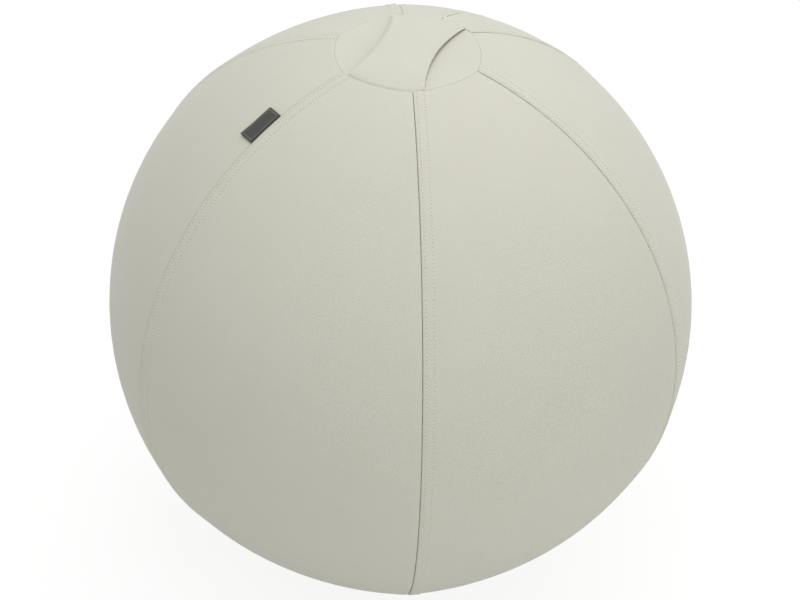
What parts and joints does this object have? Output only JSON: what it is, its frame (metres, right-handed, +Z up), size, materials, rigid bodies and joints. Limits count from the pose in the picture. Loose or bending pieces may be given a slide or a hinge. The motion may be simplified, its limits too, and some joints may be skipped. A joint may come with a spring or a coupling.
{
  "type": "sitting ball",
  "caption": "Round sitting ball with a sewn, gored fabric cover, carry strap over the flat crown, back zip and weighted flat base that keeps it from rolling away.",
  "frame": {"origin": "centre of the flat base on the floor", "axes": "+Z up through the ball's middle, -Y the front, the carry strap along Y and the zip at the back, +Y"},
  "size_m": [0.6512, 0.6486, 0.6415],
  "materials": {
    "cover_fabric": "matte",
    "base_fabric": "matte",
    "tag_ribbon": "matte",
    "zip_tape": "matte",
    "zip_coil": "satin",
    "zip_metal": "satin",
    "inner_ball_skin": "satin",
    "valve_plastic": "satin",
    "pouch_cloth": "matte",
    "sand": "matte"
  },
  "bodies": {
    "ball": {"front_panel": "cover_fabric", "front_right_panel": "cover_fabric", "back_right_panel": "cover_fabric", "back_left_panel": "cover_fabric", "front_left_panel": "cover_fabric", "zip_panel_right": "cover_fabric", "zip_panel_left": "cover_fabric", "crown_disc": "cover_fabric", "carry_handle": "cover_fabric", "base_disc": "base_fabric", "zip_tape_right": "zip_tape", "zip_tape_left": "zip_tape", "zip_coil_right": "zip_coil", "zip_coil_left": "zip_coil", "zip_upper_stop": "zip_coil", "zip_lower_stops": "zip_coil", "inner_ball": "inner_ball_skin", "valve_plug": "valve_plastic", "weight_pouch": "pouch_cloth", "sand_fill": "sand"},
    "zip_slider": {"zip_slider": "zip_metal"},
    "zip_pull": {"zip_pull": "zip_metal"},
    "side_tag": {"side_tag": "tag_ribbon"}
  },
  "joints": [
    {"name": "zip_slide", "type": "hinge", "parent": "ball", "child": "zip_slider", "pos_m": [0, 0, 0.31575], "axis": [1, 0, 0], "range_deg": [0, 72.5]},
    {"name": "pull_swing", "type": "hinge", "parent": "zip_slider", "child": "zip_pull", "pos_m": [0, 0.327, 0.31575], "axis": [1, 0, 0], "range_deg": [0, 170]},
    {"name": "tag_flip", "type": "hinge", "parent": "ball", "child": "side_tag", "pos_m": [-0.08581, -0.14702, 0.59365], "axis": [0.4254, 0.7368, 0.5255], "range_deg": [0, 120]}
  ]
}
